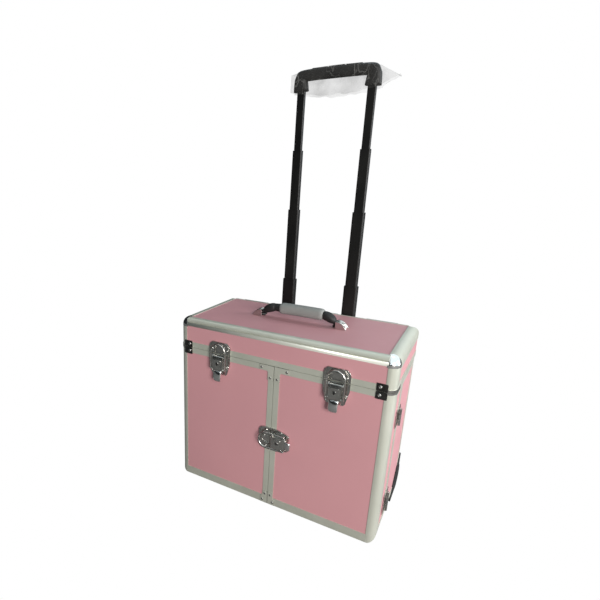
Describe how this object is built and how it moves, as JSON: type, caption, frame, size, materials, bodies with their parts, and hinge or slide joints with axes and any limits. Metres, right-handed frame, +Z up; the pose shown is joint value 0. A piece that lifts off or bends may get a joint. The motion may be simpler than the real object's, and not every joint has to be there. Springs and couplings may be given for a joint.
{
  "type": "makeup train case",
  "caption": "Rolling makeup train case with a hinged lid, twin front doors over drawers, draw latches, corner wheels and a telescopic trolley handle.",
  "frame": {"origin": "on the floor under the middle of the whole object's bounding box", "axes": "+Z up, -Y towards the doors, +X to the right seen from the front"},
  "size_m": [0.4324, 0.2426, 0.8346],
  "materials": {
    "pink_panel": "satin laminate",
    "aluminium_profile": "satin anodised",
    "chrome_fitting": "polished nickel",
    "steel_hinge": "satin",
    "black_lining": "matte",
    "black_plastic": "satin",
    "grey_grip": "matte",
    "wheel_rubber": "matte",
    "black_tube": "satin black",
    "clear_film": "clear thin film"
  },
  "bodies": {
    "case": {"bottom_panel": "black_lining", "rear_panel": "pink_panel", "side_panels": "pink_panel", "body_frame_left": "aluminium_profile", "body_frame_right": "aluminium_profile", "compartment_floor": "black_lining", "compartment_front": "black_lining", "drawer_shelf": "black_lining", "drawer_runners": "aluminium_profile", "front_feet": "black_plastic", "wheel_housing_left": "black_plastic", "wheel_housing_right": "black_plastic", "wheel_axles": "steel_hinge", "door_hinges_fixed": "steel_hinge", "lid_hinges_fixed": "steel_hinge", "trolley_fixed_tubes": "black_tube"},
    "lid": {"lid_top_panel": "pink_panel", "lid_front_panel": "pink_panel", "lid_side_panels": "pink_panel", "lid_edges_side": "aluminium_profile", "lid_edge_front": "aluminium_profile", "lid_edge_rear": "aluminium_profile", "lid_rim": "aluminium_profile", "lid_ball_corners": "chrome_fitting", "lid_brackets": "chrome_fitting", "lid_catches": "chrome_fitting", "lid_hinges_moving": "steel_hinge", "handle_mounts": "chrome_fitting"},
    "carry_handle": {"handle_grip": "grey_grip", "handle_arms": "black_plastic"},
    "left_door": {"door_panel_left": "pink_panel", "door_edge_left": "aluminium_profile", "door_strips_left": "aluminium_profile", "door_lining_left": "black_lining", "door_fittings_left": "chrome_fitting", "latch_plates_left": "chrome_fitting"},
    "right_door": {"door_panel_right": "pink_panel", "door_edge_right": "aluminium_profile", "door_strips_right": "aluminium_profile", "door_lining_right": "black_lining", "door_fittings_right": "chrome_fitting", "latch_plates_right": "chrome_fitting"},
    "lower_drawer": {"drawer_1": "black_lining"},
    "middle_drawer": {"drawer_2": "black_lining"},
    "upper_drawer": {"drawer_3": "black_lining"},
    "left_wheel": {"wheel_left": "wheel_rubber"},
    "right_wheel": {"wheel_right": "wheel_rubber"},
    "trolley_1": {"trolley_stage_1": "black_tube"},
    "trolley_2": {"trolley_stage_2": "black_tube"},
    "trolley_3": {"trolley_stage_3": "black_tube"},
    "trolley_4": {"trolley_stage_4": "black_tube", "trolley_grip": "black_plastic", "grip_film": "clear_film"},
    "trolley_button": {"grip_button": "black_plastic"},
    "lever_left": {"latch_lever_left": "chrome_fitting"},
    "bail_left": {"latch_bail_left": "chrome_fitting"},
    "lever_right": {"latch_lever_right": "chrome_fitting"},
    "bail_right": {"latch_bail_right": "chrome_fitting"},
    "lever_door": {"latch_lever_door": "chrome_fitting"},
    "bail_door": {"latch_bail_door": "chrome_fitting"}
  },
  "joints": [
    {"name": "lid_hinge", "type": "hinge", "parent": "case", "child": "lid", "pos_m": [0, 0.09305, 0.3616], "axis": [-1, 0, 0], "range_deg": [0, 70]},
    {"name": "carry_handle_lift", "type": "slide", "parent": "lid", "child": "carry_handle", "axis": [0, 0, 1], "range_m": [0, 0.005]},
    {"name": "right_door_hinge", "type": "hinge", "parent": "case", "child": "right_door", "pos_m": [0.2132, -0.04495, 0.007], "axis": [0, 0, 1], "range_deg": [0, 170]},
    {"name": "left_door_hinge", "type": "hinge", "parent": "case", "child": "left_door", "pos_m": [-0.2132, -0.04495, 0.007], "axis": [0, 0, -1], "range_deg": [0, 170.5]},
    {"name": "lower_drawer_slide", "type": "slide", "parent": "case", "child": "lower_drawer", "axis": [0, -1, 0], "range_m": [0, 0.1201]},
    {"name": "middle_drawer_slide", "type": "slide", "parent": "case", "child": "middle_drawer", "axis": [0, -1, 0], "range_m": [0, 0.1201]},
    {"name": "upper_drawer_slide", "type": "slide", "parent": "case", "child": "upper_drawer", "axis": [0, -1, 0], "range_m": [0, 0.1201]},
    {"name": "left_wheel_spin", "type": "hinge", "parent": "case", "child": "left_wheel", "pos_m": [-0.19, 0.08405, 0.032], "axis": [1, 0, 0], "continuous": true},
    {"name": "right_wheel_spin", "type": "hinge", "parent": "case", "child": "right_wheel", "pos_m": [0.19, 0.08405, 0.032], "axis": [1, 0, 0], "continuous": true},
    {"name": "trolley_slide_1", "type": "slide", "parent": "case", "child": "trolley_1", "axis": [0, 0, 1], "range_m": [-0.132, 0]},
    {"name": "trolley_slide_2", "type": "slide", "parent": "trolley_1", "child": "trolley_2", "axis": [0, 0, 1], "range_m": [-0.139, 0]},
    {"name": "trolley_slide_3", "type": "slide", "parent": "trolley_2", "child": "trolley_3", "axis": [0, 0, 1], "range_m": [-0.108, 0]},
    {"name": "trolley_slide_4", "type": "slide", "parent": "trolley_3", "child": "trolley_4", "axis": [0, 0, 1], "range_m": [-0.099, 0]},
    {"name": "trolley_button_press", "type": "slide", "parent": "trolley_4", "child": "trolley_button", "axis": [0, 0, -1], "range_m": [0, 0.003], "stiffness_N_per_m": 300, "springref_m": -0.001},
    {"name": "lever_left_hinge", "type": "hinge", "parent": "left_door", "child": "lever_left", "pos_m": [-0.1155, -0.11395, 0.299], "axis": [-1, 0, 0], "range_deg": [0, 110]},
    {"name": "bail_left_hinge", "type": "hinge", "parent": "lever_left", "child": "bail_left", "pos_m": [-0.1155, -0.11495, 0.275], "axis": [1, 0, 0], "range_deg": [0, 110.5]},
    {"name": "lever_right_hinge", "type": "hinge", "parent": "right_door", "child": "lever_right", "pos_m": [0.1155, -0.11395, 0.299], "axis": [-1, 0, 0], "range_deg": [0, 110]},
    {"name": "bail_right_hinge", "type": "hinge", "parent": "lever_right", "child": "bail_right", "pos_m": [0.1155, -0.11495, 0.275], "axis": [1, 0, 0], "range_deg": [0, 110.5]},
    {"name": "lever_door_hinge", "type": "hinge", "parent": "right_door", "child": "lever_door", "pos_m": [0.006, -0.11395, 0.156], "axis": [0, 0, -1], "range_deg": [0, 110]},
    {"name": "bail_door_hinge", "type": "hinge", "parent": "lever_door", "child": "bail_door", "pos_m": [0.03, -0.11495, 0.156], "axis": [0, 0, 1], "range_deg": [0, 110.5]}
  ],
  "couplings": [
    {"joint": "left_door_hinge", "follows": "right_door_hinge", "ratio": 1},
    {"joint": "lower_drawer_slide", "follows": "right_door_hinge", "m_per_rad": 0.04},
    {"joint": "middle_drawer_slide", "follows": "right_door_hinge", "m_per_rad": 0.04},
    {"joint": "upper_drawer_slide", "follows": "right_door_hinge", "m_per_rad": 0.04},
    {"joint": "bail_left_hinge", "follows": "lever_left_hinge", "ratio": 1},
    {"joint": "bail_right_hinge", "follows": "lever_right_hinge", "ratio": 1},
    {"joint": "bail_door_hinge", "follows": "lever_door_hinge", "ratio": 1}
  ]
}
